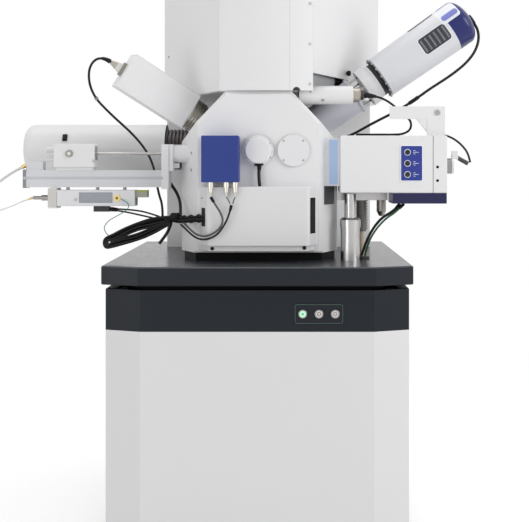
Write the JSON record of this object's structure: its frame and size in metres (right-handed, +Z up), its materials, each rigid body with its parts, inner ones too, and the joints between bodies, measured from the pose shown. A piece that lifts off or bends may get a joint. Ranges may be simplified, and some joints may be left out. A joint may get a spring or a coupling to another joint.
{
  "type": "scanning electron microscope",
  "caption": "Scanning electron microscope on an air-mounted table: column tower, specimen chamber with sliding door and stage, and detectors on both sides.",
  "frame": {"origin": "on the floor, under the middle between the four levelling feet", "axes": "+Z up, -Y towards the operator, who faces the chamber door; +X to the operator's right"},
  "size_m": [1.585, 0.9, 1.8],
  "materials": {
    "feet": "satin",
    "frame": "matt",
    "rubber": "matt",
    "table": "gloss",
    "white": "satin",
    "dark": "satin",
    "black_plastic": "matt",
    "button": "gloss",
    "steel": "satin",
    "aluminium": "satin",
    "blue": "satin",
    "cable": "satin",
    "hose": "satin"
  },
  "bodies": {
    "frame": {"air_hoses": "hose", "air_mounts": "rubber", "backing_pump": "dark", "base_chassis": "frame", "bsd_preamp": "aluminium", "bsd_support": "aluminium", "button_panel": "black_plastic", "chamber_base": "dark", "chamber_body": "white", "column_base_plate": "aluminium", "column_cover_front": "white", "column_cover_left": "white", "column_cover_right": "white", "control_band": "dark", "ebsd_flange": "aluminium", "eds_adaptor": "aluminium", "electron_column": "steel", "electronics_rack": "frame", "front_panel": "white", "hose_coil": "hose", "isolation_deck": "frame", "left_drop_cable": "cable", "levelling_feet": "feet", "pole_piece": "steel", "preamp_leads": "cable", "rear_cabinet": "white", "rear_panel": "white", "se_cable": "cable", "se_detector": "white", "service_pipes": "steel", "side_housing": "white", "side_panels": "white", "support_frame": "frame", "table_top": "table", "tank_leads": "cable", "tower_cap": "white", "tower_rear_housing": "white", "turbo_pump": "steel", "vpse_cable": "cable", "vpse_detector": "aluminium"},
    "door": {"door_plate": "white", "drawer_cover": "white", "port_covers": "aluminium", "door_box": "blue", "stage_base": "aluminium", "cable_hank": "cable", "door_cables": "cable"},
    "stage_y": {"stage_y_carriage": "aluminium"},
    "stage_x": {"stage_x_carriage": "aluminium"},
    "stage_lift": {"stage_lift_yoke": "aluminium"},
    "stage_tilt": {"stage_tilt_cradle": "steel"},
    "stage_turntable": {"stage_turntable": "steel"},
    "button_on": {"power_button_on": "button"},
    "button_standby": {"power_button_standby": "button"},
    "button_off": {"power_button_off": "button"},
    "bsd_carriage": {"bsd_carriage": "aluminium"},
    "eds_detector": {"eds_detector": "white", "eds_cable": "cable"},
    "ebsd_camera": {"ebsd_camera": "white", "ebsd_side_cable": "cable"}
  },
  "joints": [
    {"name": "door_slide", "type": "slide", "parent": "frame", "child": "door", "axis": [0, -1, 0], "range_m": [0, 0.3]},
    {"name": "stage_y_slide", "type": "slide", "parent": "door", "child": "stage_y", "axis": [0, 1, 0], "range_m": [-0.045, 0.045]},
    {"name": "stage_x_slide", "type": "slide", "parent": "stage_y", "child": "stage_x", "axis": [1, 0, 0], "range_m": [-0.045, 0.045]},
    {"name": "stage_z_lift", "type": "slide", "parent": "stage_x", "child": "stage_lift", "axis": [0, 0, 1], "range_m": [0, 0.04]},
    {"name": "stage_tilt_hinge", "type": "hinge", "parent": "stage_lift", "child": "stage_tilt", "pos_m": [0, -0.12, 0.975], "axis": [1, 0, 0], "range_deg": [-10, 60]},
    {"name": "stage_rotation", "type": "hinge", "parent": "stage_tilt", "child": "stage_turntable", "pos_m": [0, -0.12, 0.95], "axis": [0, 0, 1], "continuous": true},
    {"name": "button_on_press", "type": "slide", "parent": "frame", "child": "button_on", "axis": [0, 1, 0], "range_m": [0, 0.002], "stiffness_N_per_m": 600, "springref_m": -0.001},
    {"name": "button_standby_press", "type": "slide", "parent": "frame", "child": "button_standby", "axis": [0, 1, 0], "range_m": [0, 0.002], "stiffness_N_per_m": 600, "springref_m": -0.001},
    {"name": "button_off_press", "type": "slide", "parent": "frame", "child": "button_off", "axis": [0, 1, 0], "range_m": [0, 0.002], "stiffness_N_per_m": 600, "springref_m": -0.001},
    {"name": "bsd_slide", "type": "slide", "parent": "frame", "child": "bsd_carriage", "axis": [1, 0, 0], "range_m": [0, 0.15]},
    {"name": "eds_slide", "type": "slide", "parent": "frame", "child": "eds_detector", "axis": [0.8192, 0, 0.5736], "range_m": [0, 0.06]},
    {"name": "ebsd_slide", "type": "slide", "parent": "frame", "child": "ebsd_camera", "axis": [1, 0, 0], "range_m": [0, 0.08]}
  ]
}
